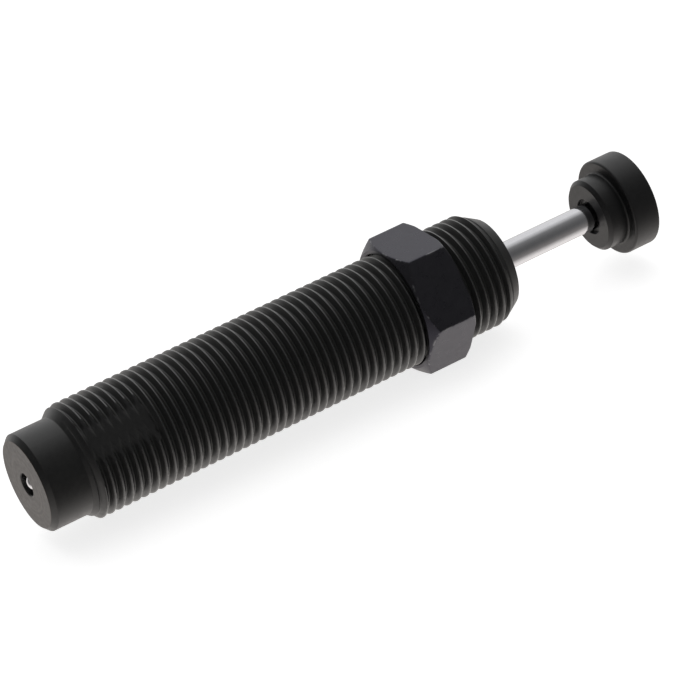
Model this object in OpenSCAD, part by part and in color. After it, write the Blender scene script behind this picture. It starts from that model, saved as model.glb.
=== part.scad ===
// Self-compensating industrial shock absorber with a fully threaded body.
// Sizes in millimetres. The axis is X: the rod and its cap point to +X.
// The origin is on the axis, in the plane of the lock nut's front face.
// Inside the modules, x = 0 is the front face of the body, and seat() moves it.

/* [Threaded body] */
// Diameter over the crests of the body's thread
thread_d = 24.9; // [24:0.1:26]
// Pitch of the thread
thread_pitch = 2; // [1.8:0.05:2.2]
// Depth of the thread's grooves
thread_depth = 1.2; // [1:0.05:1.3]
// Width of a crest
thread_crest = 0.25; // [0.15:0.05:0.35]
// Length of the body from its rear face to its front face
body_len = 112.5; // [105:0.5:130]
// Diameter of the smooth rear shank
shank_d = 21.2; // [20.4:0.1:21.6]
// Length of the smooth rear shank
shank_len = 9; // [6:0.5:12]
// Length of the lead-in cone behind the thread
lead_len = 2.2; // [1.5:0.1:4]
// Chamfer round the rear face
rear_chamfer = 1.1; // [0.4:0.1:1.5]
// Length of the taper at the front end
front_taper_len = 4.2; // [2.5:0.1:6]
// Diameter of the front face
front_face_d = 20; // [19.6:0.1:21]
// Thickness of the rear wall
rear_wall = 8; // [7:0.5:12]

/* [Marking flat] */
// Length of the milled flat that is left for marking
flat_len = 14.6; // [6:0.2:20]
// Depth of the flat below the thread's crests
flat_depth = 1.25; // [0.5:0.05:1.4]
// Distance from the rear face to the middle of the flat
flat_pos = 18.4; // [18:0.2:40]
// Angle of the flat about the axis, from +Y
flat_angle = 141.5; // [0:0.5:360]

/* [Filling port] */
// Diameter of the steel ball that closes the port
ball_d = 4.5; // [3.5:0.1:5.5]
// Gap round the ball in its seat
ball_gap = 0.2; // [0.1:0.05:0.3]
// Depth of the ball below the rear face
ball_sink = 0.2; // [0.1:0.1:1]
// Diameter of the filling passage
port_d = 2.4; // [1.5:0.1:3]

/* [Lock nut] */
// Wall of the lock nut between the thread's crests and its flats
nut_wall = 1.05; // [0.9:0.05:3]
// Thickness of the lock nut
nut_len = 11; // [6:0.5:12]
// Distance from the nut's front face to the body's front face
nut_pos = 13.8; // [8:0.2:40]
// Radial depth of the chamfers at the nut's corners
nut_corner_cut = 1.3; // [0.5:0.1:2]
// Angle of the corner chamfers from the nut's faces
nut_chamfer_angle = 30; // [20:1:40]
// Angle of the nut about the axis, from a corner on +Y
nut_angle = 3; // [0:1:59]
// Depth of the countersink at each end of the nut's bore
nut_sink = 0.15; // [0.1:0.05:0.3]

/* [Rod and cap] */
// Diameter of the piston rod
rod_d = 6; // [5.6:0.1:6.4]
// Length of rod between the body and the cap
exposed_len = 25.1; // [20:0.1:30]
// Diameter of the cap's hub
hub_d = 16; // [14:0.1:17]
// Length of the cap's hub
hub_len = 4.8; // [4:0.1:8]
// Diameter of the cap's head
head_d = 21.2; // [19:0.1:22]
// Length of the cap's head
head_len = 6.3; // [4:0.1:8]
// Chamfer round the hub's rear face
hub_chamfer = 0.8; // [0.3:0.1:1.2]
// Radius of the head's two rims
head_round = 0.5; // [0.3:0.1:1.4]
// Diameter of the recess round the rod in the hub's rear face
hub_recess_d = 8; // [7.4:0.1:9]
// Depth of that recess
hub_recess = 0.8; // [0.4:0.1:1.4]
// Thickness of the cap's front wall
cap_wall = 2.6; // [1.8:0.1:3.5]
// Thickness of the ring that snaps the cap onto the rod
cap_clip_len = 0.8; // [0.6:0.1:1.2]
// Distance from the rod's end to that ring
cap_clip_setback = 2.4; // [1.8:0.1:3]

/* [Pressure tube] */
// Bore of the pressure tube
tube_bore = 12; // [11.8:0.1:12.4]
// Wall thickness of the pressure tube
tube_wall = 1.5; // [1.3:0.1:1.8]
// Width of the oil space between the pressure tube and the body's bore
oil_space = 1.5; // [1.3:0.1:1.7]
// Number of metering holes along the stroke
hole_count = 8; // [4:1:12]
// Diameter of a metering hole
hole_d = 1; // [0.6:0.1:1.4]
// Length of the plug that closes the tube's rear end
base_len = 6.5; // [5:0.5:9]
// Thickness of that plug's flange
base_flange = 2.5; // [2:0.1:3.5]
// Width of the oil channels across the flange
channel_w = 2; // [1:0.1:3]
// Depth of the spigots in the tube's ends
spigot_len = 3; // [2:0.5:4]

/* [Piston] */
// Length of the piston
piston_len = 9; // [8:0.5:11]
// Width of the piston's check ring
ring_w = 2; // [1.5:0.1:2.5]
// Axial float of the check ring in its groove
ring_float = 0.8; // [0.4:0.1:1.2]
// Radial thickness of the check ring
ring_t = 1.2; // [0.9:0.1:1.4]
// Gap under the check ring and round the piston's front land, which the oil returns through
return_gap = 0.4; // [0.3:0.05:0.5]
// Number of return slots behind the check ring
slot_count = 4; // [3:1:6]
// Width of a return slot
slot_w = 1.6; // [1:0.1:2]
// Width of the check ring's split
ring_split = 0.4; // [0.2:0.1:0.8]
// Diameter of the rod's threaded tail
tail_d = 4; // [3:0.1:4.6]
// Width across the flats of the piston's nut
piston_nut_af = 7; // [6.5:0.1:7.2]
// Thickness of the piston's nut
piston_nut_len = 3.2; // [2.4:0.1:4]

/* [Return spring] */
// Diameter of the spring's wire
wire_d = 1; // [0.8:0.1:1.3]
// Number of turns, with the closed one at each end
spring_turns = 11; // [8:1:13]
// Gap between the spring and the tube's bore
spring_gap = 0.3; // [0.2:0.05:0.35]
// Thickness of the washer between spring and piston
seat_len = 1; // [0.6:0.1:1.5]

/* [Rod guide] */
// Length of the guide's head
guide_head_len = 4.2; // [3:0.1:6]
// Length of the foam accumulator
foam_len = 13.5; // [10:0.5:18]
// Radial thickness of the foam accumulator
foam_t = 2; // [1.4:0.1:2.2]
// Thickness of the perforated washer behind the foam
screen_len = 1; // [0.6:0.1:1.5]
// Number of holes in that washer
screen_holes = 8; // [6:1:12]
// Diameter of those holes
screen_hole_d = 0.8; // [0.5:0.1:1]
// Length of the guide's spigot in the pressure tube
guide_spigot_len = 7; // [5:0.5:10]
// Thickness of the rebound stop behind the guide
rebound_len = 1; // [0.6:0.1:1.5]

/* [Front gland] */
// Length of the gland, from its nose to its rear face
gland_len = 12; // [11:0.5:15]
// Diameter of the gland's nose
nose_d = 13; // [12.6:0.1:13.4]
// Outer diameter of the rod seal
seal_d = 11; // [10:0.1:11.4]
// Length of the rod seal
seal_len = 3.3; // [2.6:0.1:4]
// Thickness of the seal's two lips at their edges
seal_lip = 0.35; // [0.2:0.05:0.5]
// Thickness of the backup ring
backup_len = 0.5; // [0.4:0.1:0.8]
// Outer diameter of the wiper
wiper_d = 10.4; // [9.6:0.1:11]
// Length of the wiper
wiper_len = 2.2; // [1.8:0.1:3]
// Thickness of the wiper's lip at its edge
wiper_lip = 0.35; // [0.2:0.05:0.5]
// Diameter of the O-ring's cord
oring_cord = 1.5; // [1.2:0.1:1.8]
// Distance from the gland's nose to the middle of the O-ring
oring_pos = 6.4; // [5.4:0.1:7.5]
// Distance from the front face to the retaining ring
clip_setback = 1.4; // [1:0.1:2]
// Thickness of the retaining ring
clip_len = 1.1; // [0.8:0.1:1.3]
// Depth of the retaining ring's groove
clip_groove = 0.5; // [0.3:0.05:0.6]
// Radial width of the retaining ring
clip_width = 1.8; // [1.4:0.1:2]
// Diameter of the eyes at the retaining ring's ends
clip_eye_d = 1.7; // [1.4:0.1:2]

/* [Clearances] */
// Gap between the stroke's end and the gland's nose
stop_gap = 0.1; // [0.05:0.05:0.5]
// Radial gap of a running fit
run_gap = 0.04; // [0.02:0.01:0.08]
// Gap at a seat between parts that are fitted together
seat_gap = 0.05; // [0.02:0.01:0.1]
// Radial gap between the lock nut and the crests of the thread
nut_gap = 0.08; // [0.05:0.01:0.1]
// Radial gap of the piston's rear land in the pressure tube
piston_gap = 0.08; // [0.05:0.01:0.1]
// Gap between the piston and the rebound stop
rebound_gap = 0.3; // [0.2:0.05:0.6]

/* [Hidden] */
$fn = 64;
eps = 0.01;
// How far a cut runs past a face
over = 1;
// Edge breaks on inner parts
edge = 0.4;
fine_edge = 0.3;

thread_r = thread_d / 2;
thread_root_r = thread_r - thread_depth;
nut_af = thread_d + 2 * nut_wall;
rod_r = rod_d / 2;
tube_in = tube_bore / 2;
tube_r = tube_in + tube_wall;
bore_r = tube_r + oil_space;
stroke = exposed_len - stop_gap;
fitted_r = bore_r - seat_gap;
spigot_r = tube_in - seat_gap;

// Flanks at 30 degrees, and as many grooves as the full thread holds
flank_len = thread_depth * tan(30);
thread_rear = -body_len + shank_len + lead_len;
thread_front = -front_taper_len;
groove_count = floor((thread_front - thread_rear) / thread_pitch);
first_crest = (thread_front + thread_rear - groove_count * thread_pitch) / 2;

// Places along the axis, from the body's front face towards the rear
floor_x = rear_wall - body_len;
base_front = floor_x + seat_gap + base_len;
gland_rear = -gland_len;
guide_front = gland_rear - seat_gap;
neck_front = guide_front - guide_head_len;
screen_front = neck_front - foam_len - 2 * seat_gap;
tube_front = screen_front - screen_len - 2 * seat_gap;
flange_front = floor_x + base_flange;
tube_rear = base_front + seat_gap;
guide_rear = screen_front - screen_len - guide_spigot_len;
rebound_rear = guide_rear - seat_gap - rebound_len;
piston_front = rebound_rear - rebound_gap;
piston_rear = piston_front - piston_len;
seat_rear = piston_rear - seat_gap - seat_len;
spring_front = seat_rear - seat_gap;
spring_rear = base_front + spigot_len + seat_gap;
neck_r = fitted_r - foam_t - 3 * seat_gap;

// Piston and check ring: the ring seals on the groove's front wall, and oil returns under it
piston_r = tube_in - piston_gap;
front_land_r = tube_in - return_gap;
ring_out = tube_in - run_gap;
ring_in = ring_out - ring_t;
groove_w = ring_w + ring_float + 2 * seat_gap;
groove_r = ring_in - return_gap;
groove_front = piston_front - (piston_len - groove_w) / 2;
groove_rear = groove_front - groove_w;

// Return spring
spring_r = tube_in - spring_gap - wire_d / 2;
spring_inner = spring_r - wire_d / 2;
wire_sides = 8;
steps_per_turn = 20;

// Front gland
seal_r = seal_d / 2;
seal_pocket = seal_len + backup_len + 2 * seat_gap;
clip_rear = -clip_setback - clip_len;
oring_r = fitted_r - oring_cord / 2;
oring_room = oring_cord / 2 + 0.25;
wiper_rear = -wiper_len - seat_gap;

// Cap
hub_rear = exposed_len;
head_rear = hub_rear + hub_len;
cap_front = head_rear + head_len;
rod_end = cap_front - cap_wall - seat_gap;
cap_clip_rear = rod_end - cap_clip_setback;
cap_clip_front = cap_clip_rear + cap_clip_len;
cap_clip_out = rod_r + cap_clip_len / 2;
cap_clip_groove_r = rod_r - cap_clip_len / 2;

// Puts a part that is placed from the body's front face into the shared frame
module seat() translate([nut_pos, 0, 0]) children();

// Turns an outline of [radius, x] points about the X axis
module turned(outline) rotate([0, 90, 0]) rotate_extrude() polygon(outline);

// A plain ring or sleeve between two places on the axis
module sleeve(rear, front, r_in, r_out) {
    turned([[r_in, rear], [r_out, rear], [r_out, front], [r_in, front]]);
}

// A plain round bar or bore between two places on the axis
module bar(rear, front, r)
    translate([rear, 0, 0]) rotate([0, 90, 0]) cylinder(h = front - rear, r = r);

// A hexagonal bar with a flat facing down
module hex_bar(rear, front, af) {
    translate([rear, 0, 0]) rotate([0, 90, 0]) rotate([0, 0, 30])
        cylinder(h = front - rear, d = af / cos(30), $fn = 6);
}

// A slot across a ring, open at its top, between two places on the axis
module slot(rear, front, width, r) translate([rear, -width / 2, 0]) cube([front - rear, width, r]);

// Points of a quarter round from angle a to a + 90, in the outline's plane
function quarter(r, x, radius, a, steps = 5) =
    [for (i = [0:steps]) [r + radius * cos(a + 90 * i / steps), x + radius * sin(a + 90 * i / steps)]];

// Outline of the groove that follows crest i. The grooves are rings of the thread's form: the
// helix rises by only one pitch a turn, so rings look the same and stay exact turned faces.
function thread_groove(i) = let (
        from = first_crest + i * thread_pitch + thread_crest / 2,
        to = from + thread_pitch - thread_crest)
    [[thread_r, from], [thread_root_r, from + flank_len], [thread_root_r, to - flank_len], [thread_r, to]];

module threaded_body() color([0.11, 0.11, 0.12]) seat() difference() {
    turned(concat(
        [[0, -body_len], [shank_d / 2 - rear_chamfer, -body_len], [shank_d / 2, -body_len + rear_chamfer],
            [shank_d / 2, -body_len + shank_len], [thread_r, thread_rear]],
        [for (i = [0:groove_count - 1]) each thread_groove(i)],
        [[thread_r, thread_front], [front_face_d / 2, 0], [0, 0]]));
    bar(floor_x, over, bore_r);
    clip_groove_cut();
    ball_seat_cut();
    marking_flat_cut();
}

module clip_groove_cut() bar(clip_rear - seat_gap, -clip_setback + seat_gap, bore_r + clip_groove);

module ball_seat_cut() {
    pocket_r = ball_d / 2 + ball_gap;
    pocket_end = -body_len + ball_sink + ball_d + seat_gap;
    bar(-body_len - over, pocket_end, pocket_r);
    bar(-body_len - over, floor_x + over, port_d / 2);
}

module marking_flat_cut() {
    translate([-body_len + flat_pos, 0, 0]) rotate([flat_angle - 90, 0, 0])
        translate([-flat_len / 2, -thread_r, thread_r - flat_depth])
            cube([flat_len, thread_d, flat_depth + over]);
}

module filler_ball() color([0.80, 0.80, 0.82]) seat() {
    translate([-body_len + ball_sink + ball_d / 2, 0, 0]) sphere(d = ball_d);
}

// The nut's front face is at the origin, so it isn't placed by seat()
module lock_nut() color([0.17, 0.17, 0.19]) {
    corner_r = nut_af / cos(30) / 2;
    past_corner_r = corner_r + over;
    chamfer_r = corner_r - nut_corner_cut;
    chamfer_len = (past_corner_r - chamfer_r) * tan(nut_chamfer_angle);
    bore = thread_r + nut_gap;
    sink_r = bore + nut_sink + eps;
    difference() {
        intersection() {
            rotate([nut_angle, 0, 0])
                hex_bar(-nut_len, 0, nut_af);
            turned([[0, -nut_len], [chamfer_r, -nut_len], [past_corner_r, -nut_len + chamfer_len],
                [past_corner_r, -chamfer_len], [chamfer_r, 0], [0, 0]]);
        }
        turned([[0, -nut_len - eps], [sink_r, -nut_len - eps], [bore, -nut_len + nut_sink],
            [bore, -nut_sink], [sink_r, eps], [0, eps]]);
    }
}

// Constant deceleration needs an open area that falls with the square root of the stroke that
// is left, so of hole_count equal holes, hole i closes after this share of the stroke
function metering_share(i) = 1 - pow((hole_count - i) / hole_count, 2);

module pressure_tube() color([0.62, 0.63, 0.65]) seat() difference() {
    sleeve(tube_rear, tube_front, tube_in, tube_r);
    for (i = [1:hole_count])
        translate([groove_rear - stroke * metering_share(i), 0, 0])
            rotate([90 * i, 0, 0]) cylinder(h = tube_r + over, d = hole_d, $fn = 24);
}

module tube_base() color([0.58, 0.58, 0.60]) seat() difference() {
    turned([[0, floor_x + seat_gap], [fitted_r, floor_x + seat_gap], [fitted_r, flange_front],
        [tube_r, flange_front], [tube_r, base_front], [spigot_r, base_front],
        [spigot_r, base_front + spigot_len], [0, base_front + spigot_len]]);
    bar(base_front, base_front + spigot_len + over, port_d / 2);
    for (a = [45:90:315]) rotate([a, 0, 0]) translate([0, 0, tube_r])
        slot(floor_x - over, flange_front + over, channel_w, bore_r);
}

// Place of the wire's centre after t turns: the end turns lie closed
function wire_x(t) = let (
        coil_len = spring_front - spring_rear - wire_d,
        open_turns = spring_turns - 2,
        open_pitch = (coil_len - 2 * wire_d) / open_turns)
    spring_rear + wire_d / 2 + (t < 1 ? t * wire_d
        : t > spring_turns - 1 ? coil_len - (spring_turns - t) * wire_d
        : wire_d + (t - 1) * open_pitch);

// One ring of points round the wire after t turns
function wire_ring(t) = [for (j = [0:wire_sides - 1]) let (
        a = 360 * t,
        b = 360 * j / wire_sides,
        r = spring_r + wire_d / 2 * cos(b))
    [wire_x(t) + wire_d / 2 * sin(b), r * cos(a), r * sin(a)]];

module return_spring() color([0.70, 0.71, 0.73]) seat() {
    rings = spring_turns * steps_per_turn;
    points = [for (i = [0:rings]) each wire_ring(i / steps_per_turn)];
    walls = [for (i = [0:rings - 1], j = [0:wire_sides - 1])
        let (k = (j + 1) % wire_sides, m = i * wire_sides)
            [m + j, m + k, m + wire_sides + k, m + wire_sides + j]];
    first_end = [for (j = [wire_sides - 1:-1:0]) j];
    last_end = [for (j = [0:wire_sides - 1]) rings * wire_sides + j];
    polyhedron(points = points, faces = concat([first_end, last_end], walls), convexity = 10);
}

module spring_seat() color([0.55, 0.55, 0.57]) seat()
    sleeve(seat_rear, seat_rear + seat_len, spring_inner, spring_r + wire_d / 2);

module piston_rod() color([0.86, 0.87, 0.89]) seat() difference() {
    tail_rear = piston_rear - piston_nut_len - 2 * edge;
    turned([[0, tail_rear], [tail_d / 2 - edge, tail_rear], [tail_d / 2, tail_rear + edge],
        [tail_d / 2, piston_front], [rod_r, piston_front], [rod_r, rod_end - edge],
        [rod_r - edge, rod_end], [0, rod_end]]);
    sleeve(cap_clip_rear - seat_gap, cap_clip_front + seat_gap, cap_clip_groove_r, rod_r + over);
}

module piston_head() color([0.72, 0.60, 0.34]) seat() difference() {
    hole = tail_d / 2 + seat_gap;
    front = piston_front - seat_gap;
    turned([[hole, piston_rear], [piston_r - edge, piston_rear], [piston_r, piston_rear + edge],
        [piston_r, groove_rear], [groove_r, groove_rear], [groove_r, groove_front],
        [front_land_r, groove_front], [front_land_r, front - edge], [front_land_r - edge, front],
        [hole, front]]);
    for (i = [1:slot_count]) rotate([360 * i / slot_count, 0, 0])
        translate([0, 0, groove_r]) slot(piston_rear - over, groove_rear + eps, slot_w, tube_in);
}

module check_ring() color([0.50, 0.42, 0.28]) seat() difference() {
    sleeve(groove_front - seat_gap - ring_w, groove_front - seat_gap, ring_in, ring_out);
    slot(groove_rear, groove_front, ring_split, tube_in + over);
}

module piston_nut() color([0.60, 0.61, 0.63]) seat() difference() {
    hex_bar(piston_rear - seat_gap - piston_nut_len, piston_rear - seat_gap, piston_nut_af);
    bar(piston_rear - piston_nut_len - over, piston_rear + over, tail_d / 2 + seat_gap);
}

module rebound_stop() color([0.25, 0.27, 0.30]) seat()
    sleeve(rebound_rear, rebound_rear + rebound_len, rod_r + 5 * seat_gap, spigot_r);

module rod_guide() color([0.66, 0.50, 0.28]) seat() {
    guide_in = rod_r + run_gap;
    turned([[guide_in + fine_edge, guide_rear], [spigot_r - fine_edge, guide_rear],
        [spigot_r, guide_rear + fine_edge], [spigot_r, screen_front], [neck_r, screen_front],
        [neck_r, neck_front], [fitted_r, neck_front], [fitted_r, guide_front],
        [guide_in + fine_edge, guide_front], [guide_in, guide_front - fine_edge],
        [guide_in, guide_rear + fine_edge]]);
}

module accumulator_foam() color([0.20, 0.22, 0.26]) seat() {
    front = neck_front - seat_gap;
    sleeve(front - foam_len, front, neck_r + seat_gap, neck_r + seat_gap + foam_t);
}

module foam_screen() color([0.70, 0.70, 0.72]) seat() difference() {
    front = screen_front - seat_gap;
    sleeve(front - screen_len, front, spigot_r + seat_gap, fitted_r);
    for (i = [1:screen_holes]) rotate([360 * i / screen_holes, 0, 0])
        translate([0, 0, (tube_r + fitted_r) / 2])
            bar(front - screen_len - over, front + over, screen_hole_d / 2);
}

// A seal with two lips that open towards the pressure side
module rod_seal() color([0.16, 0.30, 0.22]) seat() {
    front = gland_rear + seal_pocket - seat_gap;
    rear = front - seal_len;
    root = rear + seal_len / 2;
    mid = (rod_r + seal_r) / 2;
    inner = rod_r + run_gap;
    outer = seal_r - seat_gap;
    relief = rod_r + 4 * seat_gap;
    turned([[inner, rear], [inner + seal_lip, rear], [mid, root], [outer - seal_lip, rear],
        [outer, rear], [outer, front], [relief, front], [relief, root]]);
}

module backup_ring() color([0.90, 0.89, 0.84]) seat()
    sleeve(gland_rear, gland_rear + backup_len, rod_r + 2 * seat_gap, seal_r - seat_gap);

module front_gland() color([0.52, 0.53, 0.55]) seat() {
    hole = rod_r + 3 * seat_gap;
    main_front = clip_rear - seat_gap;
    groove_in = oring_r - oring_cord / 2 - seat_gap;
    nose_r = nose_d / 2;
    turned([[seal_r, gland_rear], [fitted_r, gland_rear],
        [fitted_r, -oring_pos - oring_room], [groove_in, -oring_pos - oring_room],
        [groove_in, -oring_pos + oring_room], [fitted_r, -oring_pos + oring_room],
        [fitted_r, main_front], [nose_r, main_front], [nose_r, -fine_edge], [nose_r - fine_edge, 0],
        [wiper_d / 2, 0], [wiper_d / 2, wiper_rear - seat_gap], [hole, wiper_rear - seat_gap],
        [hole, gland_rear + seal_pocket], [seal_r, gland_rear + seal_pocket]]);
}

module gland_oring() color([0.07, 0.07, 0.07]) seat()
    translate([-oring_pos, 0, 0]) rotate([0, 90, 0])
        rotate_extrude() translate([oring_r, 0]) circle(d = oring_cord);

// The wiper's lip leans out along the rod
module rod_wiper() color([0.09, 0.09, 0.10]) seat() {
    out = wiper_d / 2 - seat_gap;
    body_front = -wiper_len / 3;
    lip_front = -3 * seat_gap;
    lip_rear = -wiper_len * 0.6;
    relief = rod_r + wiper_lip;
    turned([[out, wiper_rear], [out, body_front], [relief + 2 * wiper_lip, body_front],
        [rod_r + run_gap + wiper_lip, lip_front], [rod_r + run_gap, lip_front],
        [relief, lip_rear], [relief, wiper_rear]]);
}

// An internal retaining ring with a gap and two eyes for pliers
module retaining_ring() color([0.24, 0.24, 0.26]) seat() {
    front = clip_rear + clip_len;
    out = bore_r + clip_groove - seat_gap;
    eye_r = clip_eye_d / 2;
    eye_at = nose_d / 2 + 3 * seat_gap + eye_r;
    eye_angle = 16;
    difference() {
        union() {
            sleeve(clip_rear, front, out - clip_width, out);
            for (side = [-1, 1]) rotate([side * eye_angle, 0, 0]) translate([0, 0, eye_at])
                bar(clip_rear, front, eye_r);
        }
        slot(clip_rear - over, front + over, clip_eye_d, out + over);
        for (side = [-1, 1]) rotate([side * eye_angle, 0, 0]) translate([0, 0, eye_at])
            bar(clip_rear - over, front + over, eye_r / 2);
    }
}

module impact_cap() color([0.13, 0.13, 0.14]) seat() {
    hole = rod_r + seat_gap;
    hub_r = hub_d / 2;
    head_r = head_d / 2;
    recess_r = hub_recess_d / 2;
    recess_front = hub_rear + hub_recess;
    clip_r = cap_clip_out + 2 * seat_gap;
    turned(concat(
        [[hole, recess_front], [recess_r, recess_front], [recess_r, hub_rear],
            [hub_r - hub_chamfer, hub_rear], [hub_r, hub_rear + hub_chamfer],
            [hub_r, head_rear - edge], [hub_r + edge, head_rear]],
        quarter(head_r - head_round, head_rear + head_round, head_round, -90),
        quarter(head_r - head_round, cap_front - head_round, head_round, 0),
        [[0, cap_front], [0, cap_front - cap_wall], [hole, cap_front - cap_wall],
            [hole, cap_clip_front + seat_gap], [clip_r, cap_clip_front + seat_gap],
            [clip_r, cap_clip_rear - seat_gap], [hole, cap_clip_rear - seat_gap]]));
}

module cap_clip() color([0.75, 0.75, 0.77]) seat() difference() {
    sleeve(cap_clip_rear, cap_clip_front, cap_clip_groove_r + seat_gap, cap_clip_out);
    slot(cap_clip_rear - over, cap_clip_front + over, cap_clip_len, rod_d);
}

threaded_body();
filler_ball();
lock_nut();
pressure_tube();
tube_base();
return_spring();
spring_seat();
piston_rod();
piston_head();
check_ring();
piston_nut();
rebound_stop();
rod_guide();
accumulator_foam();
foam_screen();
rod_seal();
backup_ring();
front_gland();
gland_oring();
rod_wiper();
retaining_ring();
impact_cap();
cap_clip();
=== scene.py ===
import math

import bpy
import numpy as np
from mathutils import Matrix, Vector


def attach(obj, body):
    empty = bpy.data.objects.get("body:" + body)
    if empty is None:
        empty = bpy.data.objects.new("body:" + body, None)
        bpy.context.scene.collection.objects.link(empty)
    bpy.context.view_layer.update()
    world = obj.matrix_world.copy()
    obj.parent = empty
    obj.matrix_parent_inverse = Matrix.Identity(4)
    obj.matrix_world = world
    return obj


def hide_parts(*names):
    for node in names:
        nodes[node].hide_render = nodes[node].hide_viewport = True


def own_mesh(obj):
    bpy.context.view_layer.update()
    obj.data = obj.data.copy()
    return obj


# Lengths are in millimetres on the shared axes, and become metres when a mesh is made. Only the camera's
# place is in metres.
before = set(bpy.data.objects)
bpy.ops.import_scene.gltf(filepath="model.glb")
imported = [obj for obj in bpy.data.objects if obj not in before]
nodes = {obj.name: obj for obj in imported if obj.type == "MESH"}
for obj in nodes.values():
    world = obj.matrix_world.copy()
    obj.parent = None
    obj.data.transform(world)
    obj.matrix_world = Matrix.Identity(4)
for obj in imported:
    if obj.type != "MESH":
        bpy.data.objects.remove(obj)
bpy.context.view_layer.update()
toMetres = 0.001
print("frame loaded:", len(nodes), "nodes")


def meshPiece(name, points, faces, material, sharpAngle):
    mesh = bpy.data.meshes.new(name)
    mesh.from_pydata((np.asarray(points) * toMetres).tolist(), [], faces)
    mesh.validate()
    mesh.update()
    mesh.polygons.foreach_set("use_smooth", [True] * len(mesh.polygons))
    mesh.set_sharp_from_angle(angle=math.radians(sharpAngle))
    mesh.materials.append(material)
    piece = bpy.data.objects.new(name, mesh)
    bpy.context.scene.collection.objects.link(piece)
    weighted = piece.modifiers.new("weighted", "WEIGHTED_NORMAL")
    weighted.mode = "FACE_AREA"
    weighted.keep_sharp = True
    return piece


# Gives each point of a piece its own value, which a material reads by name.
def pointValues(piece, name, values):
    attribute = piece.data.attributes.new(name, "FLOAT", "POINT")
    attribute.data.foreach_set("value", np.ascontiguousarray(values, dtype=np.float32))


# Points that fall together become one, and faces lose repeated corners or vanish.
def welded(points, quads, extras=None):
    keys = np.round(points, decimals=4)
    _, first, inverse = np.unique(keys, axis=0, return_index=True, return_inverse=True)
    inverse = inverse.reshape(-1)
    faces = []
    for quad in inverse[quads]:
        corners = [int(c) for k, c in enumerate(quad) if c != quad[k - 1]]
        if len(set(corners)) == len(corners) and len(corners) > 2:
            faces.append(corners)
    return points[first], faces, (None if extras is None else extras[first])


# Rounds the corners of an outline of (x, r) points: a corner given as (x, r, radius) becomes an arc of that
# radius, in so many steps. An open outline keeps its two ends as they are.
def rounded(outline, steps, closed=True):
    done = []
    count = len(outline)
    for i, corner in enumerate(outline):
        here = np.array(corner[:2], float)
        radius = corner[2] if len(corner) > 2 else 0.0
        if radius <= 0 or (not closed and i in (0, count - 1)):
            done.append(here)
            continue
        before = np.array(outline[i - 1][:2], float)
        after = np.array(outline[(i + 1) % count][:2], float)
        inward = (before - here) / np.linalg.norm(before - here)
        outward = (after - here) / np.linalg.norm(after - here)
        half = math.acos(max(-1.0, min(1.0, float(inward @ outward)))) / 2
        reach = radius / math.tan(half)
        middle = here + (inward + outward) / np.linalg.norm(inward + outward) * radius / math.sin(half)
        start = here + inward * reach - middle
        end = here + outward * reach - middle
        startAngle = math.atan2(start[1], start[0])
        turn = (math.atan2(end[1], end[0]) - startAngle + math.pi) % (2 * math.pi) - math.pi
        for k in range(steps + 1):
            a = startAngle + turn * k / steps
            done.append(middle + radius * np.array([math.cos(a), math.sin(a)]))
    return np.array(done)


# Turns a closed outline of (x, r) points about the X axis: at each angle a, a point is (x, r cos a, r sin a).
# With x to the right and r upwards, the outline keeps the material on its left, so the faces look outward.
def turned(outline, segments):
    angles = np.linspace(0, 2 * math.pi, segments, endpoint=False)
    outline = np.asarray(outline, float)
    x = np.repeat(outline[:, :1], segments, 1)
    r = outline[:, 1:2]
    points = np.stack([x, r * np.cos(angles), r * np.sin(angles)], -1)
    index = np.arange(x.size).reshape(x.shape)
    up = np.roll(index, -1, 0)
    quads = np.stack([index, up, np.roll(up, -1, 1), np.roll(index, -1, 1)], -1).reshape(-1, 4)
    kept, faces, _ = welded(points.reshape(-1, 3), quads)
    return kept, faces


class Graph:
    def __init__(self, tree):
        self.tree = tree
        self.nodes = tree.nodes
        self.links = tree.links

    def add(self, kind, **settings):
        made = self.nodes.new(kind)
        for key, value in settings.items():
            setattr(made, key, value)
        return made

    def join(self, source, target):
        self.links.new(source, target)

    def value(self, source, socket):
        if isinstance(source, (int, float)):
            socket.default_value = source
        else:
            self.join(source, socket)

    def calc(self, operation, a, b=0.0, clamp=False):
        made = self.add("ShaderNodeMath", operation=operation, use_clamp=clamp)
        self.value(a, made.inputs[0])
        self.value(b, made.inputs[1])
        return made.outputs[0]

    def noise(self, vector, scale, detail, rough):
        made = self.add("ShaderNodeTexNoise")
        self.join(vector, made.inputs["Vector"])
        made.inputs["Scale"].default_value = scale
        made.inputs["Detail"].default_value = detail
        made.inputs["Roughness"].default_value = rough
        return made.outputs["Fac"]

    def scaled(self, vector, factors):
        made = self.add("ShaderNodeVectorMath", operation="MULTIPLY")
        self.join(vector, made.inputs[0])
        made.inputs[1].default_value = factors
        return made.outputs[0]

    def span(self, source, low, high, out0=0.0, out1=1.0):
        made = self.add("ShaderNodeMapRange")
        self.join(source, made.inputs["Value"])
        made.inputs["From Min"].default_value = low
        made.inputs["From Max"].default_value = high
        made.inputs["To Min"].default_value = out0
        made.inputs["To Max"].default_value = out1
        return made.outputs["Result"]

    def blend(self, factor, a, b):
        made = self.add("ShaderNodeMix", data_type="RGBA")
        self.value(factor, made.inputs["Factor"])
        for colour, socket in ((a, made.inputs["A"]), (b, made.inputs["B"])):
            if isinstance(colour, tuple):
                socket.default_value = (*colour, 1.0)
            else:
                self.join(colour, socket)
        return made.outputs["Result"]


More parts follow.
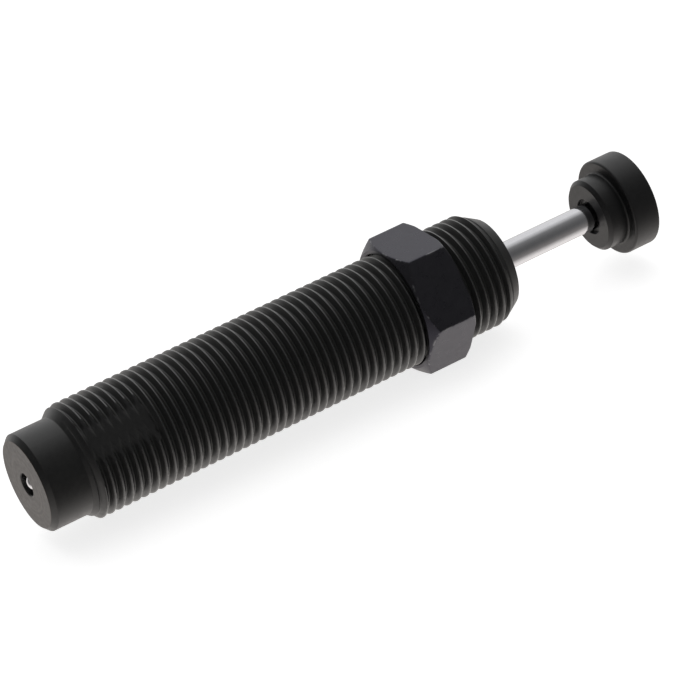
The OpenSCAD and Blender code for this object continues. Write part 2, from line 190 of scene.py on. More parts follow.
def freshMaterial(name, base, metallic, roughness):
    material = bpy.data.materials.new(name)
    material.use_nodes = True
    graph = Graph(material.node_tree)
    shader = graph.nodes["Principled BSDF"]
    shader.inputs["Base Color"].default_value = (*base, 1.0)
    shader.inputs["Metallic"].default_value = metallic
    shader.inputs["Roughness"].default_value = roughness
    place = graph.add("ShaderNodeTexCoord").outputs["Object"]
    # the place on the object, in millimetres
    return material, graph, shader, graph.scaled(place, (1 / toMetres,) * 3)


# Turning marks: fine rings round the X axis from noise on the distance along it and from it, with a
# little drift. Gives a value from 0 to 1.
def turningGroup():
    drift = 0.02
    tree = bpy.data.node_groups.new("turningMarks", "ShaderNodeTree")
    tree.interface.new_socket("Place", in_out="INPUT", socket_type="NodeSocketVector")
    tree.interface.new_socket("Density", in_out="INPUT", socket_type="NodeSocketFloat")
    tree.interface.new_socket("Marks", in_out="OUTPUT", socket_type="NodeSocketFloat")
    graph = Graph(tree)
    entry = graph.add("NodeGroupInput")
    parts = graph.add("ShaderNodeSeparateXYZ")
    graph.join(entry.outputs["Place"], parts.inputs[0])
    radius = graph.calc("SQRT", graph.calc("ADD", graph.calc("POWER", parts.outputs["Y"], 2.0),
                                           graph.calc("POWER", parts.outputs["Z"], 2.0)))
    rings = graph.add("ShaderNodeCombineXYZ")
    graph.join(graph.calc("MULTIPLY", parts.outputs["X"], entry.outputs["Density"]), rings.inputs["X"])
    graph.join(graph.calc("MULTIPLY", radius, entry.outputs["Density"]), rings.inputs["Y"])
    graph.join(graph.calc("MULTIPLY", parts.outputs["Z"], drift), rings.inputs["Z"])
    marks = graph.noise(rings.outputs[0], scale=1.0, detail=3.0, rough=0.6)
    ending = graph.add("NodeGroupOutput")
    graph.join(marks, ending.inputs["Marks"])
    return tree


turningTree = turningGroup()


def turningMarks(graph, place, density):
    made = graph.add("ShaderNodeGroup", node_tree=turningTree)
    graph.join(place, made.inputs["Place"])
    made.inputs["Density"].default_value = density
    return made.outputs["Marks"]


def addBump(graph, shader, height, distance):
    bump = graph.add("ShaderNodeBump")
    bump.inputs["Strength"].default_value = 1.0
    bump.inputs["Distance"].default_value = distance * toMetres
    graph.join(height, bump.inputs["Height"])
    graph.join(bump.outputs["Normal"], shader.inputs["Normal"])


# Noise lies mostly between these values.
colourSpan = (0.35, 0.65)
sheenSpan = (0.3, 0.7)


# Black oxide on turned steel: a dark dielectric skin with mottled roughness. Where a piece names its wear and
# painted highlight, a bright coat and a lighter colour show there in spots; the lighter colour is partly real
# wear and partly a painted highlight. The thread's grooves get painted light that lifts their shade, and the
# turned rear face has colours of its own.
def oxideMaterial(name, look, wearAndHighlightAttribute=None):
    material, graph, shader, place = freshMaterial(name, look["base"], look["metallic"], look["roughness"])
    mottle = graph.noise(place, look["mottleScale"], detail=4.0, rough=0.6)
    colour = graph.blend(graph.span(mottle, *colourSpan), look["base"], look["light"])
    roughness = graph.span(mottle, *sheenSpan, look["roughness"] - look["roughSpread"],
                           look["roughness"] + look["roughSpread"])
    if wearAndHighlightAttribute:
        shader.inputs["Coat IOR"].default_value = look["coatIor"]
        shader.inputs["Coat Roughness"].default_value = look["coatRoughness"]
        wearAndHighlight = graph.add("ShaderNodeAttribute", attribute_name=wearAndHighlightAttribute).outputs["Fac"]
        stretched = graph.scaled(place, look["spotStretch"])
        spots = graph.noise(stretched, look["spotScale"], detail=3.0, rough=0.7)
        shown = graph.span(spots, look["spotLow"], look["spotHigh"], look["spotLeast"], 1.0)
        markShare = graph.calc("MULTIPLY", wearAndHighlight, shown, clamp=True)
        graph.join(markShare, shader.inputs["Coat Weight"])
        # painted highlight: the lighter colour of these spots stands partly for real wear and partly for
        # highlights
        colour = graph.blend(graph.calc("MULTIPLY", markShare, look["wearAndHighlightShare"]), colour, look["wearAndHighlight"])
    if "grooveAttribute" in look:
        # painted light: the thread's grooves and flanks get a lighter colour that lifts their shade
        paintedGrooveLight = graph.add("ShaderNodeAttribute", attribute_name=look["grooveAttribute"]).outputs["Fac"]
        colour = graph.blend(paintedGrooveLight, colour, look["groove"])
    if "faceX" in look:
        # the turned rear face is browner, with lighter and darker rings
        parts = graph.add("ShaderNodeSeparateXYZ")
        graph.join(place, parts.inputs[0])
        rings = turningMarks(graph, place, look["faceRings"])
        face = graph.blend(graph.span(rings, *colourSpan), look["faceInner"], look["faceOuter"])
        onFace = graph.span(parts.outputs["X"], look["faceX"], look["faceX"] - look["faceFade"])
        colour = graph.blend(onFace, colour, face)
    if "specularTint" in look:
        shader.inputs["Specular Tint"].default_value = look["specularTint"]
    graph.join(colour, shader.inputs["Base Color"])
    graph.join(roughness, shader.inputs["Roughness"])
    marks = turningMarks(graph, place, look["markDensity"])
    addBump(graph, shader, marks, look["markDepth"])
    return material


# Bare metal, whose turning marks change its sheen.
def metalMaterial(name, look):
    smoother, rougher = 0.8, 1.25
    material, graph, shader, place = freshMaterial(name, look["base"], 1.0, look["roughness"])
    marks = turningMarks(graph, place, look["markDensity"])
    mottle = graph.noise(place, scale=0.8, detail=3.0, rough=0.5)
    colour = graph.blend(graph.span(mottle, *sheenSpan), look["base"], look["light"])
    graph.join(colour, shader.inputs["Base Color"])
    graph.join(graph.span(marks, *sheenSpan, look["roughness"] * smoother, look["roughness"] * rougher),
               shader.inputs["Roughness"])
    addBump(graph, shader, marks, look["markDepth"])
    return material


# Rubber, foam and polymer with a moulded grain.
def softMaterial(name, look):
    roughSpread = 0.06
    material, graph, shader, place = freshMaterial(name, look["base"], 0.0, look["roughness"])
    grain = graph.noise(place, look["grainScale"], detail=3.0, rough=0.6)
    colour = graph.blend(graph.span(grain, *colourSpan), look["base"], look["light"])
    graph.join(colour, shader.inputs["Base Color"])
    roughness = graph.span(grain, *sheenSpan, look["roughness"] - roughSpread, look["roughness"] + roughSpread)
    graph.join(roughness, shader.inputs["Roughness"])
    addBump(graph, shader, grain, look["grainDepth"])
    return material


# The worn colours are partly real wear and partly painted highlights, and the groove colour is painted light
# that lifts the shade of the thread's grooves.
bodyLook = {"base": (0.016, 0.016, 0.016), "light": (0.022, 0.022, 0.0215), "metallic": 0.0, "roughness": 0.36,
            "roughSpread": 0.05, "mottleScale": 0.9, "wearAndHighlight": (0.04, 0.04, 0.041), "wearAndHighlightShare": 0.3,
            "coatIor": 1.85, "coatRoughness": 0.2, "spotLeast": 0.45, "spotLow": 0.3, "spotHigh": 0.55,
            "spotScale": 1.1, "spotStretch": (0.5, 1.0, 1.0), "markDensity": 9.0, "markDepth": 0.004,
            "groove": (0.034, 0.034, 0.033), "grooveAttribute": "grooveShare",
            "faceX": -98.62, "faceFade": 0.04, "faceRings": 1.3,
            "faceInner": (0.032, 0.024, 0.017), "faceOuter": (0.075, 0.058, 0.045)}
nutLook = {"base": (0.023, 0.023, 0.023), "light": (0.028, 0.028, 0.028), "metallic": 0.0, "roughness": 0.3,
           "specularTint": (0.77, 0.74, 1.0, 1.0), "roughSpread": 0.05, "mottleScale": 0.6,
           "wearAndHighlight": (0.3, 0.3, 0.3), "wearAndHighlightShare": 0.6, "coatIor": 2.2, "coatRoughness": 0.3, "spotLeast": 0.0,
           "spotLow": 0.5, "spotHigh": 0.66, "spotScale": 0.5, "spotStretch": (0.5, 1.0, 1.0),
           "markDensity": 2.0, "markDepth": 0.001}
capLook = {"base": (0.009, 0.009, 0.0095), "light": (0.012, 0.012, 0.0125), "metallic": 0.0, "roughness": 0.38,
           "roughSpread": 0.05, "mottleScale": 1.1, "markDensity": 7.0, "markDepth": 0.004}
chromeLook = {"base": (0.60, 0.60, 0.62), "light": (0.63, 0.63, 0.65), "roughness": 0.10, "markDensity": 5.0,
              "markDepth": 0.0006}
ballLook = {"base": (0.75, 0.75, 0.77), "light": (0.8, 0.8, 0.82), "roughness": 0.12, "markDensity": 2.0,
            "markDepth": 0.0005}

bodyBlack = oxideMaterial("bodyBlack", bodyLook, "crestWearAndHighlight")
nutBlack = oxideMaterial("nutBlack", nutLook, "edgeWearAndHighlight")
capBlack = oxideMaterial("capBlack", capLook)
chrome = metalMaterial("chrome", chromeLook)
ballSteel = metalMaterial("ballSteel", ballLook)

steel = metalMaterial("turnedSteel", {"base": (0.42, 0.42, 0.44), "light": (0.5, 0.5, 0.52), "roughness": 0.3,
                                      "markDensity": 8.0, "markDepth": 0.004})
ground = metalMaterial("groundSteel", {"base": (0.5, 0.51, 0.53), "light": (0.56, 0.57, 0.6),
                                       "roughness": 0.22, "markDensity": 14.0, "markDepth": 0.002})
wireSteel = metalMaterial("springWire", {"base": (0.45, 0.46, 0.49), "light": (0.52, 0.53, 0.56),
                                         "roughness": 0.28, "markDensity": 3.0, "markDepth": 0.002})
bronze = metalMaterial("bronze", {"base": (0.55, 0.36, 0.14), "light": (0.62, 0.42, 0.18), "roughness": 0.28,
                                  "markDensity": 9.0, "markDepth": 0.003})
darkBronze = metalMaterial("darkBronze", {"base": (0.33, 0.22, 0.10), "light": (0.4, 0.27, 0.12),
                                          "roughness": 0.25, "markDensity": 9.0, "markDepth": 0.002})
ringSteel = oxideMaterial("ringSteel", {"base": (0.02, 0.02, 0.022), "light": (0.03, 0.03, 0.032),
                                        "metallic": 0.3, "roughness": 0.35, "roughSpread": 0.05,
                                        "mottleScale": 1.5, "markDensity": 4.0, "markDepth": 0.002})
rubber = softMaterial("rubber", {"base": (0.012, 0.012, 0.013), "light": (0.018, 0.018, 0.019),
                                 "roughness": 0.55, "grainScale": 3.0, "grainDepth": 0.01})
sealRubber = softMaterial("sealRubber", {"base": (0.012, 0.05, 0.025), "light": (0.018, 0.065, 0.035),
                                         "roughness": 0.5, "grainScale": 3.0, "grainDepth": 0.01})
foam = softMaterial("foam", {"base": (0.03, 0.035, 0.05), "light": (0.06, 0.065, 0.085), "roughness": 0.85,
                             "grainScale": 6.0, "grainDepth": 0.08})
stopPolymer = softMaterial("stopPolymer", {"base": (0.05, 0.055, 0.06), "light": (0.065, 0.07, 0.08),
                                           "roughness": 0.45, "grainScale": 1.5, "grainDepth": 0.006})
palePolymer = softMaterial("palePolymer", {"base": (0.62, 0.6, 0.52), "light": (0.68, 0.66, 0.58),
                                           "roughness": 0.4, "grainScale": 1.5, "grainDepth": 0.006})

nodeMaterials = {
    "threaded_body": bodyBlack, "lock_nut": nutBlack, "impact_cap": capBlack, "piston_rod": chrome,
    "filler_ball": ballSteel, "pressure_tube": ground, "tube_base": steel, "return_spring": wireSteel,
    "spring_seat": steel, "piston_head": bronze, "check_ring": darkBronze, "piston_nut": steel,
    "rebound_stop": stopPolymer, "rod_guide": bronze, "accumulator_foam": foam, "foam_screen": steel,
    "rod_seal": sealRubber, "backup_ring": palePolymer, "front_gland": steel, "gland_oring": rubber,
    "rod_wiper": rubber, "retaining_ring": ringSteel, "cap_clip": wireSteel,
}
for name, material in nodeMaterials.items():
    for materialSlot in nodes[name].material_slots:
        materialSlot.material = material
print("materials made:", len(bpy.data.materials))


body = {
    "pitch": 2.0, "crestR": 12.45, "rootR": 11.25, "crestHalf": 0.125, "crestRound": 0.1, "columns": 120,
    "crestX": -49.47, "crestAngle": -155.3, "crestWearAndHighlight": 0.75, "edgeWearAndHighlight": 0.45, "wearAndHighlightReach": 0.18,
    "threadRear": -87.5, "shankFront": -89.7, "shankR": 10.6, "rearX": -98.7, "rearChamfer": 1.1,
    "threadFront": 9.6, "frontX": 13.8, "frontR": 10.0,
    "flatMid": -80.3, "flatHalf": 7.3, "flatR": 11.2, "flatAngle": 141.5, "flatStep": 0.012,
    "boreR": 9.0, "boreChamfer": 0.25, "floorX": -90.7,
    "portR": 1.2, "pocketR": 2.45, "pocketX": -93.95, "pocketChamfer": 0.2,
    "grooveFront": 12.45, "grooveRear": 11.25, "grooveR": 9.45,
    "mouthRound": 0.05, "faceRound": 0.08, "innerRound": 0.3,
    "coneRow": 0.4, "shankRow": -94.0, "faceRow": 6.0,
}


# One pitch of the thread as (share of the pitch, radius, wear and painted highlight): a 60 degree form with a
# narrow crest that has rounded edges, straight flanks, and a root that is one arc between the flanks. The
# crest and its edges carry wear and a painted highlight.
def threadForm(look):
    slope = math.tan(math.radians(60))
    half = look["pitch"] / 2
    apex = look["crestR"] - (half - look["crestHalf"]) * slope
    rootRadius = look["rootR"] - apex
    rootMiddle = apex + 2 * rootRadius
    edge = look["crestRound"]
    side = []
    # the arc at the crest's edge turns from the crest's direction to the flank's
    reach = edge * math.tan(math.radians(30))
    arcX = look["crestHalf"] - reach
    for a in (0, 20, 40, 60):
        side.append((arcX + edge * math.sin(math.radians(a)),
                     look["crestR"] - edge + edge * math.cos(math.radians(a)),
                     np.interp(a, (0, 60), (look["crestWearAndHighlight"], look["edgeWearAndHighlight"]))))
    # the wear and the painted highlight fade out a third of the way down the flank
    side.append((side[-1][0] + look["wearAndHighlightReach"], side[-1][1] - look["wearAndHighlightReach"] * slope, 0.0))
    for a in (60, 30):
        side.append((half - rootRadius * math.sin(math.radians(a)),
                     rootMiddle - rootRadius * math.cos(math.radians(a)), 0.0))
    root = [(half, look["rootR"], 0.0)]
    mirrored = [(2 * half - x, r, w) for x, r, w in reversed(side)]
    return [(x / look["pitch"], r, w) for x, r, w in side + root + mirrored]


# The thread is a grid of rows and columns. A row is one place on the thread's form. Round the axis it keeps
# its radius and advances by the pitch, as x = row's x + pitch * (angle - crestAngle) / 360, so that it meets
# the same place of the next turn. The cones and the marking flat then lower each radius to their own.
def threadedShell(look):
    form = threadForm(look)
    steps = len(form)
    flatEdge = math.degrees(math.acos(look["flatR"] / look["crestR"]))
    # two more columns lie on the flat's edges, and all lie within one turn from crestAngle
    edges = [angle - 360 * (angle > look["crestAngle"] + 360)
             for angle in (look["flatAngle"] - flatEdge, look["flatAngle"] + flatEdge)]
    angles = np.sort(np.concatenate([
        np.arange(look["columns"]) * 360.0 / look["columns"] + look["crestAngle"], edges]))
    columns = len(angles)
    coneX = [look["shankFront"], look["threadRear"], look["threadFront"], look["frontX"]]
    coneR = [look["shankR"], look["crestR"], look["crestR"], look["frontR"]]
    # the threaded rows end where the two cones have come down to the root
    rearEnd = np.interp(look["rootR"], coneR[:2], coneX[:2])
    frontEnd = np.interp(look["rootR"], coneR[:1:-1], coneX[:1:-1])
    # a turn or two to spare at each end, which the ends cut off
    firstTurn = math.floor((rearEnd - look["crestX"]) / look["pitch"]) - 2
    lastTurn = math.ceil((frontEnd - look["crestX"]) / look["pitch"]) + 1
    turns = np.arange(firstTurn, lastTurn + 1)
    phase, radius, wearAndHighlightLevel = np.array(form).T
    rowX = (look["crestX"] + look["pitch"] * (turns[:, None] + phase[None, :])).reshape(-1)
    rowR = np.tile(radius, len(turns))
    rowWearAndHighlight = np.tile(wearAndHighlightLevel, len(turns))
    x = rowX[:, None] + look["pitch"] * (angles - look["crestAngle"])[None, :] / 360.0
    r = np.repeat(rowR[:, None], columns, 1)
    wearAndHighlight = np.repeat(rowWearAndHighlight[:, None], columns, 1)

    # rows that lie nearest the ends of the marking flat move onto them, so that its ends are crisp
    hair = 0.01
    fromFlat = np.abs((angles - look["flatAngle"] + 180) % 360 - 180)
    for endX, sign in ((look["flatMid"] - look["flatHalf"], -1), (look["flatMid"] + look["flatHalf"], 1)):
        for c in np.where(fromFlat < flatEdge - hair)[0]:
            outside = np.where((x[:, c] - endX) * sign > 0)[0]
            outer = outside[np.argmin(np.abs(x[outside, c] - endX))]
            inner = outer - sign
            r[outer, c] = np.interp(endX, [x[min(outer, inner), c], x[max(outer, inner), c]],
                                    [r[min(outer, inner), c], r[max(outer, inner), c]])
            x[outer, c] = endX + look["flatStep"] * sign
            x[inner, c] = endX - look["flatStep"] * sign
    x = np.clip(x, rearEnd, frontEnd)
    cone = np.interp(x, coneX, coneR)
    # so many degrees round from its middle, the flat's plane is well outside the thread
    farRound = 80
    onFlat = (np.abs(x - look["flatMid"]) < look["flatHalf"]) & (fromFlat < farRound)[None, :]
    plane = look["flatR"] / np.cos(np.radians(np.minimum(fromFlat, farRound)))
    flat = np.where(onFlat, plane[None, :], np.inf)
    cut = np.minimum(cone, flat) < r - hair
    # where the cones or the flat cut, there is no wear, painted highlight or painted groove light; elsewhere
    # the grooves' painted light fills what the crest's wear and painted highlight leave
    wearAndHighlight = np.where(cut, 0.0, wearAndHighlight)
    paintedGrooveLight = np.where(cut, 0.0, 1.0 - wearAndHighlight)
    r = np.minimum(np.minimum(r, cone), flat)
    atEnd = (x <= rearEnd) | (x >= frontEnd)
    r = np.where(atEnd, look["rootR"], r)
    rows = len(rowX)

    # the smooth rest of the outline, from the front cone round the bore and back along the shank
    tail = rounded([
        (look["frontX"], look["frontR"]),
        (look["frontX"], look["boreR"] + look["boreChamfer"], look["mouthRound"]),
        (look["frontX"] - look["boreChamfer"], look["boreR"], look["mouthRound"]),
        (look["grooveFront"], look["boreR"]),
        (look["grooveFront"], look["grooveR"]), (look["grooveRear"], look["grooveR"]),
        (look["grooveRear"], look["boreR"]), (look["floorX"], look["boreR"], look["innerRound"]),
        (look["floorX"], look["portR"]), (look["pocketX"], look["portR"]),
        (look["pocketX"], look["pocketR"]), (look["rearX"] + look["pocketChamfer"], look["pocketR"]),
        (look["rearX"], look["pocketR"] + look["pocketChamfer"], look["mouthRound"]),
        (look["rearX"], look["faceRow"]),
        (look["rearX"], look["shankR"] - look["rearChamfer"], look["faceRound"]),
        (look["rearX"] + look["rearChamfer"], look["shankR"], look["faceRound"]),
        (look["shankRow"], look["shankR"]), (look["shankFront"], look["shankR"], look["innerRound"]),
        (rearEnd, look["rootR"])], steps=3, closed=False)
    # the last point only turned the corner before it, and one more row lies on the front cone
    coneRowX = frontEnd + look["coneRow"]
    tail = np.concatenate([[(coneRowX, np.interp(coneRowX, coneX, coneR))], tail[:-1]])
    count = len(tail)
    tailX = np.repeat(tail[:, :1], columns, 1)
    tailR = np.repeat(tail[:, 1:2], columns, 1)
    allX = np.concatenate([x, tailX])
    allR = np.concatenate([r, tailR])
    markShare = np.zeros_like(tailX)
    shares = np.stack([np.concatenate([wearAndHighlight, markShare]), np.concatenate([paintedGrooveLight, markShare])], -1).reshape(-1, 2)
    a = np.radians(angles)[None, :]
    points = np.stack([allX, allR * np.cos(a), allR * np.sin(a)], -1)

    index = np.arange((rows + count) * columns).reshape(rows + count, columns)
    quads = []
    # within the thread, the last column meets the first one turn further on
    beside = np.roll(index[:rows], -1, 1)
    beside[:, -1] = np.minimum(np.arange(rows) + steps, rows - 1) * columns
    quads.append(np.stack([index[:rows - 1], beside[:-1], beside[1:], index[1:rows]], -1).reshape(-1, 4))
    # from the last threaded row, which lies wholly on the front end, through the tail to the first row
    ring = np.concatenate([index[rows - 1:], index[:1]])
    beside = np.roll(ring, -1, 1)
    quads.append(np.stack([ring[:-1], beside[:-1], beside[1:], ring[1:]], -1).reshape(-1, 4))
    kept, faces, shares = welded(points.reshape(-1, 3), np.concatenate(quads), shares)
    piece = meshPiece("threadedShell", kept, faces, bodyBlack, sharpAngle=22.0)
    pointValues(piece, "crestWearAndHighlight", shares[:, 0])
    pointValues(piece, "grooveShare", shares[:, 1])
    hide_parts("threaded_body")
    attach(piece, "housing")
    return piece


shell = threadedShell(body)
print("threaded shell:", len(shell.data.polygons), "faces")


nut = {
    "rear": -11.0, "front": 0.0, "flatR": 13.5, "turn": 3.0, "boreR": 12.53, "sink": 0.15,
    "frontFaceR": 14.288, "frontSlope": math.tan(math.radians(30)), "rearFaceR": 13.3, "rearSlope": 0.74,
    "round": 0.1, "wearAndHighlightWidth": 0.16, "perFlat": 22, "crowding": 2.2,
    "coneSteps": (0.0, 0.12, 0.35, 0.6, 0.8, 0.9, 0.96, 1.0), "flatSteps": (0.05, 0.12, 0.25, 0.6),
    "middleSteps": (0.4, 0.75, 1.0),
}


# The nut's surface is a grid: round the axis, its columns crowd at the six corners; along the axis, its rows
# follow the curve where the corner chamfers meet the flats. The radius is a smooth least value of the
# hexagon's two nearest flats and the chamfer cone, which rounds every edge a little.
def nutShell(look):
    softness = look["round"]

    def least(values):
        stack = np.stack(values)
        low = stack.min(0)
        return low - softness * np.log(np.exp(-(stack - low) / softness).sum(0))

    share = np.linspace(-1, 1, look["perFlat"] + 1)[:-1]
    bent = np.sign(share) * (1 - (1 - np.abs(share)) ** look["crowding"])
    middles = [90 + look["turn"] + 60 * k for k in range(6)]
    a = np.radians(np.concatenate([middle + 30 * bent for middle in middles]))
    leastCosine = 0.05
    flats = [look["flatR"] / np.maximum(np.cos(a - math.radians(middle)), leastCosine) for middle in middles]
    hexR = np.stack(flats).min(0)
    nearest = np.sort(np.stack(flats), 0)[:2]
    half = (look["front"] - look["rear"]) / 2

    # distances from an end face, which crowd at the line where its cone and the flats meet
    def depths(faceR, slope):
        meet = np.maximum(hexR - faceR, 0) * slope
        last = look["flatSteps"][-1]
        return ([meet * s for s in look["coneSteps"]] + [meet + d for d in look["flatSteps"]]
                + [meet + last + (half - meet - last) * s for s in look["middleSteps"]])

    rear = [look["rear"] + d for d in depths(look["rearFaceR"], look["rearSlope"])]
    front = [look["front"] - d for d in reversed(depths(look["frontFaceR"], look["frontSlope"])[:-1])]
    rows = []
    for x in rear + front:
        rearCone = look["rearFaceR"] + (x - look["rear"]) / look["rearSlope"]
        frontCone = look["frontFaceR"] + (look["front"] - x) / look["frontSlope"]
        limits = np.sort(np.stack([nearest[0], nearest[1], rearCone, frontCone]), 0)
        # the edges get a lighter colour in spots, partly real wear and partly a painted highlight
        # an edge is where two of these surfaces give nearly the same radius
        wearAndHighlightLevel = np.exp(-((limits[1] - limits[0]) / look["wearAndHighlightWidth"]) ** 2)
        rows.append((x, least(list(limits)), wearAndHighlightLevel))
    columns = len(a)
    inner = [(look["front"], look["boreR"] + look["sink"]), (look["front"] - look["sink"], look["boreR"]),
             (look["rear"] + look["sink"], look["boreR"]), (look["rear"], look["boreR"] + look["sink"])]
    for x, r in inner:
        rows.append((np.full(columns, x), np.full(columns, r), np.zeros(columns)))
    x = np.stack([row[0] for row in rows])
    r = np.stack([row[1] for row in rows])
    points = np.stack([x, r * np.cos(a), r * np.sin(a)], -1).reshape(-1, 3)
    index = np.arange(len(rows) * columns).reshape(len(rows), columns)
    up = np.roll(index, -1, 0)
    quads = np.stack([index, np.roll(index, -1, 1), np.roll(up, -1, 1), up], -1).reshape(-1, 4)
    wearAndHighlight = np.stack([row[2] for row in rows]).reshape(-1)
    kept, faces, wearAndHighlight = welded(points, quads, wearAndHighlight)
    piece = meshPiece("nutShell", kept, faces, nutBlack, sharpAngle=35.0)
    pointValues(piece, "edgeWearAndHighlight", wearAndHighlight)
    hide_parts("lock_nut")
    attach(piece, "lock_nut")
    return piece


nutShell(nut)
print("nut made")


cap = {
    "rear": 38.9, "hubR": 8.0, "hubChamfer": 0.8, "headRear": 43.7, "front": 50.0, "headR": 10.6, "wall": 2.6,
    "rodHole": 3.05, "recessR": 4.0, "recess": 0.8, "recessRound": 0.1, "hubRound": 0.12, "neckRound": 0.45,
    "headRound": 0.5, "segments": 160,
}


# The cap's outline, from the recess round the rod over the hub and the head to the axis and back along the
# blind hole, turned about the X axis.
def capShell(look):
    outline = rounded([
        (look["rear"] + look["recess"], look["rodHole"]),
        (look["rear"] + look["recess"], look["recessR"], look["recessRound"]),
        (look["rear"], look["recessR"], look["hubRound"]),
        (look["rear"], look["hubR"] - look["hubChamfer"], look["hubRound"]),
        (look["rear"] + look["hubChamfer"], look["hubR"], look["hubRound"]),
        (look["headRear"], look["hubR"], look["neckRound"]),
        (look["headRear"], look["headR"], look["headRound"]),
        (look["front"], look["headR"], look["headRound"]),
        (look["front"], 0.0), (look["front"] - look["wall"], 0.0),
        (look["front"] - look["wall"], look["rodHole"])], steps=7)
    # the outline above runs clockwise, so it is reversed to face outward
    points, faces = turned(outline[::-1], look["segments"])
    piece = meshPiece("capShell", points, faces, capBlack, sharpAngle=35.0)
    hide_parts("impact_cap")
    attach(piece, "rod")
    return piece


capShell(cap)
print("cap made")


spring = {"rear": -81.1, "front": -35.5, "wire": 1.0, "middleR": 5.2, "turns": 11, "stroke": 25.0,
          "stepsPerTurn": 40, "sides": 12}


# The wire's middle goes round the axis at a constant radius. Along the axis it moves by one thickness of wire
# in the first and in the last turn, which lie closed, and evenly in the turns between.
def springCoil(look):
    turns, sides, wire = look["turns"], look["sides"], look["wire"]
    t = np.linspace(0, turns, turns * look["stepsPerTurn"] + 1)
    length = look["front"] - look["rear"] - wire
    along = look["rear"] + wire / 2 + np.interp(t, [0, 1, turns - 1, turns], [0, wire, length - wire, length])
    around = 2 * math.pi * t[:, None]
    b = np.linspace(0, 2 * math.pi, sides, endpoint=False)[None, :]
    x = along[:, None] + wire / 2 * np.sin(b)
    r = np.tile(look["middleR"] + wire / 2 * np.cos(b), (len(t), 1))
    points = np.stack([x, r * np.cos(around), r * np.sin(around)], -1).reshape(-1, 3)
    index = np.arange(len(points)).reshape(len(t), sides)
    side = np.roll(index, -1, 1)
    quads = np.stack([index[:-1], index[1:], side[1:], side[:-1]], -1).reshape(-1, 4).tolist()
    ends = [index[0].tolist(), index[-1][::-1].tolist()]
    piece = meshPiece("springCoil", points, quads + ends, wireSteel, sharpAngle=60.0)
    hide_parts("return_spring")
    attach(piece, "housing")
    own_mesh(piece)
    return piece


springCoil(spring)
print("spring made")


view = {"place": (-0.31500, -0.62023, 0.34564), "right": (0.835045, -0.508496, -0.210073),
        "up": (0.399366, 0.297591, 0.867148), "lens": 197.2, "sensor": 36.0}
cameraData = bpy.data.cameras.new("camera")
cameraData.lens = view["lens"]
cameraData.sensor_width = view["sensor"]
camera = bpy.data.objects.new("camera", cameraData)
bpy.context.scene.collection.objects.link(camera)
right = Vector(view["right"]).normalized()
up = Vector(view["up"]).normalized()
turn = Matrix((right, up, right.cross(up))).transposed().to_4x4()
camera.matrix_world = Matrix.Translation(view["place"]) @ turn
bpy.context.scene.camera = camera

# The studio is bright all round, apart from zones round a direction. Four are darker: behind the camera,
# beyond the rear end, low behind the part and beyond the cap. The last, below the part, is a little brighter.
# A stop is (cosine of the angle from the direction, level).
zones = [
    {"towards": (0.0, -0.956, 0.292), "stops": [(-0.06, 1.0), (0.07, 0.82), (0.26, 0.65), (0.38, 0.5),
                                                (0.54, 0.27), (0.77, 0.18), (0.93, 0.12)]},
    {"towards": (-0.905, 0.302, 0.302), "stops": [(0.5, 1.0), (0.62, 0.75), (0.8, 0.2), (0.95, 0.12)]},
    {"towards": (0.378, 0.852, -0.362), "stops": [(0.76, 1.0), (0.9, 0.83), (0.967, 0.76), (0.992, 0.61),
                                                  (1.0, 0.5)]},
    {"towards": (0.985, 0.05, 0.0), "stops": [(0.72, 1.0), (0.86, 0.5), (0.95, 0.34)]},
    {"towards": (0.25, -0.45, -0.86), "stops": [(0.35, 1.0), (0.75, 1.15)]},
]
lowerTint = (1.0, 0.955, 0.92)
lowerFade = (-0.3, 0.15)
world = bpy.data.worlds.new("studio")
world.use_nodes = True
bpy.context.scene.world = world
graph = Graph(world.node_tree)
background = graph.nodes["Background"]
direction = graph.add("ShaderNodeTexCoord").outputs["Generated"]
level = None
for zone in zones:
    towards = graph.add("ShaderNodeVectorMath", operation="DOT_PRODUCT")
    graph.join(direction, towards.inputs[0])
    towards.inputs[1].default_value = Vector(zone["towards"]).normalized()
    ramp = graph.add("ShaderNodeValToRGB")
    graph.join(graph.span(towards.outputs["Value"], -1.0, 1.0), ramp.inputs["Fac"])
    stops = ramp.color_ramp.elements
    while len(stops) < len(zone["stops"]):
        stops.new(0.5)
    for stop, (where, shade) in zip(stops, zone["stops"]):
        stop.position = (where + 1) / 2
        stop.color = (shade, shade, shade, 1.0)
    level = ramp.outputs["Color"] if level is None else graph.calc("MULTIPLY", level, ramp.outputs["Color"])
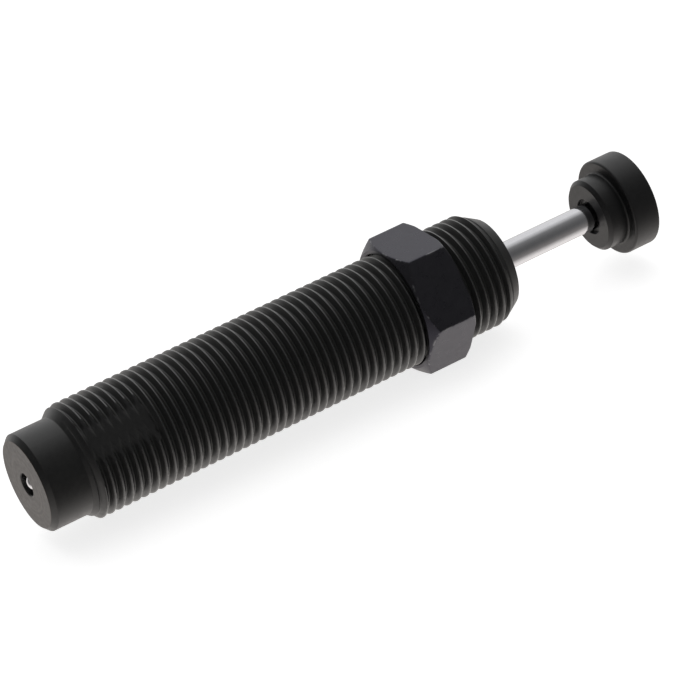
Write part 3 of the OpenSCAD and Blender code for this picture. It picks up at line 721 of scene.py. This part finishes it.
# what comes from below is a little warmer
height = graph.add("ShaderNodeSeparateXYZ")
graph.join(direction, height.inputs[0])
tint = graph.blend(graph.span(height.outputs["Z"], *lowerFade), lowerTint, (1.0, 1.0, 1.0))
tinted = graph.add("ShaderNodeVectorMath", operation="SCALE")
graph.join(tint, tinted.inputs[0])
graph.join(level, tinted.inputs["Scale"])
path = graph.add("ShaderNodeLightPath")
graph.join(graph.blend(path.outputs["Is Camera Ray"], tinted.outputs[0], (1.0, 1.0, 1.0)),
           background.inputs["Color"])
background.inputs["Strength"].default_value = 1.0

# The floor shows white where nothing shadows it. Mirror-like rays pass through it to the studio below.
floorLook = {"height": -13.6, "size": 4000.0, "base": (0.8, 0.8, 0.8), "roughness": 0.9, "glow": 0.78}
half = floorLook["size"] / 2
floorMesh = bpy.data.meshes.new("floor")
floorMesh.from_pydata([(x * half * toMetres, y * half * toMetres, floorLook["height"] * toMetres)
                       for x, y in ((-1, -1), (1, -1), (1, 1), (-1, 1))], [], [(0, 1, 2, 3)])
floor = bpy.data.objects.new("floor", floorMesh)
bpy.context.scene.collection.objects.link(floor)
floorMaterial = bpy.data.materials.new("paleFloor")
floorMaterial.use_nodes = True
graph = Graph(floorMaterial.node_tree)
shader = graph.nodes["Principled BSDF"]
shader.inputs["Base Color"].default_value = (*floorLook["base"], 1.0)
shader.inputs["Roughness"].default_value = floorLook["roughness"]
shader.inputs["Specular IOR Level"].default_value = 0.0
shader.inputs["Emission Strength"].default_value = floorLook["glow"]
path = graph.add("ShaderNodeLightPath")
graph.join(path.outputs["Is Camera Ray"], shader.inputs["Emission Color"])
through = graph.add("ShaderNodeBsdfTransparent")
choice = graph.add("ShaderNodeMixShader")
graph.join(path.outputs["Is Glossy Ray"], choice.inputs["Fac"])
graph.join(shader.outputs[0], choice.inputs[1])
graph.join(through.outputs[0], choice.inputs[2])
graph.join(choice.outputs[0], graph.nodes["Material Output"].inputs["Surface"])
floorMesh.materials.append(floorMaterial)
bpy.context.scene.view_settings.view_transform = "Standard"
print("camera, light and floor made")
